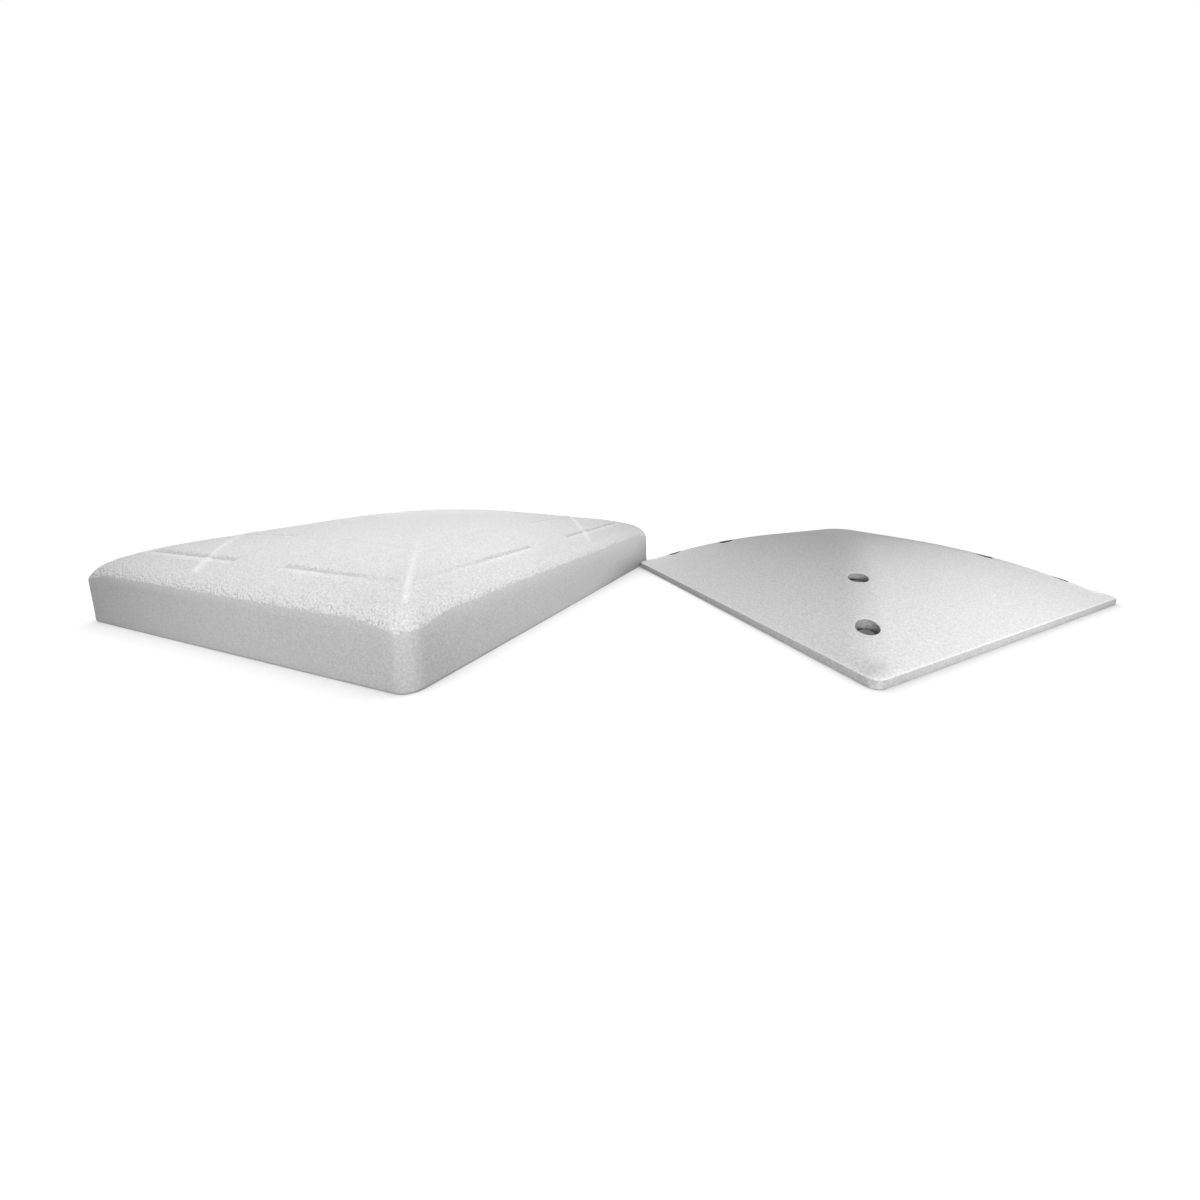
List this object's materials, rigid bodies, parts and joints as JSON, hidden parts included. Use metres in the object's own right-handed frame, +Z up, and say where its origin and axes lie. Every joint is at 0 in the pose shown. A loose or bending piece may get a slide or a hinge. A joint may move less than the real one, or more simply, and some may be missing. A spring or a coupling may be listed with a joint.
{
  "type": "baseball release base",
  "caption": "Square soft-topped field base taken apart: a domed white rubber cover with snap plugs, beside the thin domed ground plate it locks onto.",
  "frame": {"origin": "on the floor, in the middle of the box round the cover and the plate", "axes": "+X from the cover to the plate, as seen from the front; +Y away from the front; +Z up"},
  "size_m": [0.9533, 0.4865, 0.082],
  "materials": {
    "cover_rubber": "matte white moulded rubber, pebbled on top and smooth on the sides",
    "foam": "grey closed-cell foam",
    "carrier_plastic": "light grey moulded liner",
    "plug_rubber": "dark grey firm rubber",
    "plate_plastic": "smooth off-white moulded polymer with a fine speckle",
    "zinc_steel": "zinc plated",
    "insert_brass": "knurled insert, plain here"
  },
  "bodies": {
    "ground_plate_body": {"ground_plate": "plate_plastic", "anchor_socket": "zinc_steel", "anchor_bolt_1": "zinc_steel", "anchor_bolt_2": "zinc_steel", "anchor_bolt_3": "zinc_steel", "anchor_bolt_4": "zinc_steel", "threaded_insert_1": "insert_brass", "threaded_insert_2": "insert_brass", "threaded_insert_3": "insert_brass", "threaded_insert_4": "insert_brass"},
    "cover_body": {"cover_shell": "cover_rubber", "impact_foam": "foam", "plug_carrier": "carrier_plastic", "release_plug_inner_1": "plug_rubber", "release_plug_inner_2": "plug_rubber", "release_plug_inner_3": "plug_rubber", "release_plug_inner_4": "plug_rubber", "release_plug_outer_1": "plug_rubber", "release_plug_outer_2": "plug_rubber", "release_plug_outer_3": "plug_rubber", "release_plug_outer_4": "plug_rubber"}
  },
  "joints": [
    {"name": "cover_lift", "type": "slide", "parent": "ground_plate_body", "child": "cover_body", "axis": [0, 0, 1], "range_m": [0, 0.12]}
  ]
}
